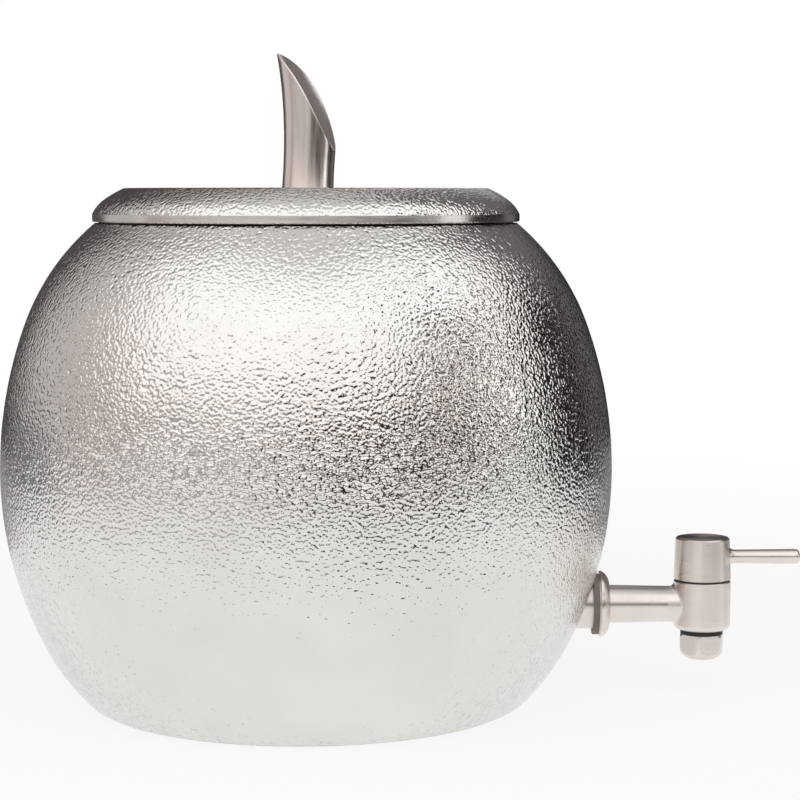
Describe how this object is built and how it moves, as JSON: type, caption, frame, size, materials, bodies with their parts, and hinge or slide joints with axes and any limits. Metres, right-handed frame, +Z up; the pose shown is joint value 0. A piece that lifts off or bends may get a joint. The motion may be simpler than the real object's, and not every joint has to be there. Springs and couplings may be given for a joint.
{
  "type": "water dispenser",
  "caption": "Round-bellied hammered metal water dispenser with a lift-off lid, a horn finial and a quarter-turn lever tap low on one side.",
  "frame": {"origin": "centre of the jar's flat base, on the surface that it stands on", "axes": "+Z up along the jar's axis, +X out along the tap's tube, so that the picture looks along +Y"},
  "size_m": [0.3153, 0.24, 0.2541],
  "materials": {
    "hammered_metal": "fine hammered grain, satin silver-white",
    "plain_metal": "plain spun and soldered metal, satin",
    "lip_metal": "smooth satin lip band",
    "satin_nickel": "warm satin nickel, finely brushed",
    "polished_nickel": "smooth satin nickel, nearly polished",
    "fastener_steel": "plain turned steel",
    "brass": "machined brass",
    "ceramic": "lapped white ceramic",
    "grey_silicone": "grey-brown matte silicone",
    "black_rubber": "black matte rubber",
    "white_plastic": "moulded white plastic"
  },
  "bodies": {
    "jar": {"jar_lower_shell": "hammered_metal", "jar_upper_shell": "hammered_metal", "base_disc": "plain_metal", "mouth_rim_ring": "plain_metal", "tap_boss": "satin_nickel", "tap_shank": "satin_nickel", "valve_body": "satin_nickel", "outlet_nut": "satin_nickel", "inner_washer": "fastener_steel", "shank_lock_nut": "fastener_steel", "cartridge_sleeve": "brass", "gland_nut": "brass", "fixed_ceramic_disc": "ceramic", "outer_gasket": "grey_silicone", "inner_gasket": "grey_silicone", "outlet_gasket": "black_rubber", "seam_ring": "black_rubber", "cartridge_seat_seal": "black_rubber", "flow_straightener": "white_plastic"},
    "lid": {"lid_shell": "hammered_metal", "lid_rim_band": "lip_metal", "lid_inner_collar": "plain_metal", "finial_horn": "polished_nickel", "finial_screw": "fastener_steel", "finial_washer": "fastener_steel"},
    "handle": {"handle_hub": "satin_nickel", "hub_grub_screw": "fastener_steel", "lever_rod": "satin_nickel", "valve_spindle": "brass", "spindle_orings": "black_rubber", "moving_ceramic_disc": "ceramic"}
  },
  "joints": [
    {"name": "lid_lift", "type": "slide", "parent": "jar", "child": "lid", "axis": [0, 0, 1], "range_m": [0, 0.2]},
    {"name": "handle_turn", "type": "hinge", "parent": "jar", "child": "handle", "pos_m": [0.15676, 0, 0.05605], "axis": [0, 0, 1], "range_deg": [0, 90]}
  ]
}
